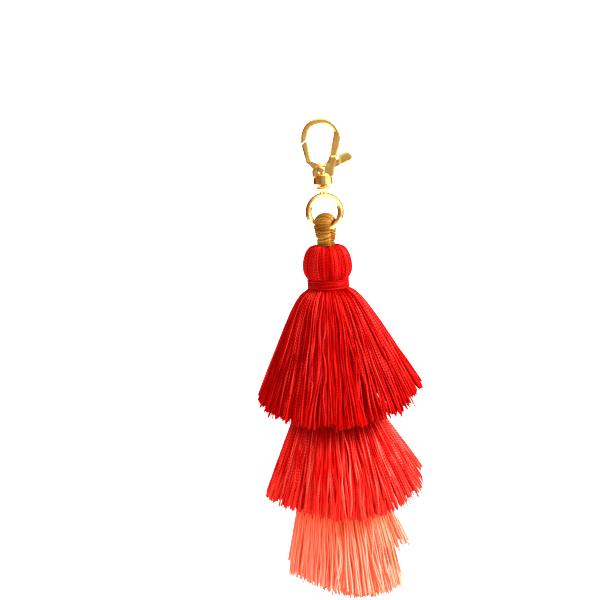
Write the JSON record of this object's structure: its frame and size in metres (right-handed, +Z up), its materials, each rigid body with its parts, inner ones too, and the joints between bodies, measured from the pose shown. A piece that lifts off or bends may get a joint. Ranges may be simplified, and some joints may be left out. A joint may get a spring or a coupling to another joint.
{
  "type": "tassel bag charm",
  "caption": "Three-tier yarn tassel in red, coral and peach on a thread-wrapped loop, hung from a swivel trigger clasp with a sprung gate.",
  "frame": {"origin": "the top of the hook's inside, where the clasp bears on whatever it is clipped to", "axes": "+Z up along the hanging tassel, -Y the front as the picture shows it, +X to the thumb lever's side"},
  "size_m": [0.0509, 0.0447, 0.1492],
  "materials": {
    "gold_metal": "pale gold plating, polished",
    "ochre_thread": "tightly wound matt thread",
    "red_yarn": "soft cut yarn with a low sheen",
    "coral_yarn": "soft cut yarn with a low sheen",
    "peach_yarn": "soft cut yarn with a low sheen"
  },
  "bodies": {
    "clasp": {"clasp_hook": "gold_metal", "gate_rivet": "gold_metal"},
    "gate": {"clasp_gate": "gold_metal"},
    "tassel": {"swivel_ring": "gold_metal", "wrapped_loop": "ochre_thread", "neck_binding": "red_yarn", "tier_top": "red_yarn", "tier_middle": "coral_yarn", "tier_bottom": "peach_yarn"}
  },
  "joints": [
    {"name": "gate_hinge", "type": "hinge", "parent": "clasp", "child": "gate", "pos_m": [-0.0005, 0, -0.0139], "axis": [0, 1, 0], "range_deg": [0, 28], "stiffness_Nm_per_rad": 0.03, "springref_deg": -20.05},
    {"name": "swivel", "type": "hinge", "parent": "clasp", "child": "tassel", "pos_m": [0, 0, -0.0178], "axis": [0, 0, 1], "continuous": true}
  ]
}
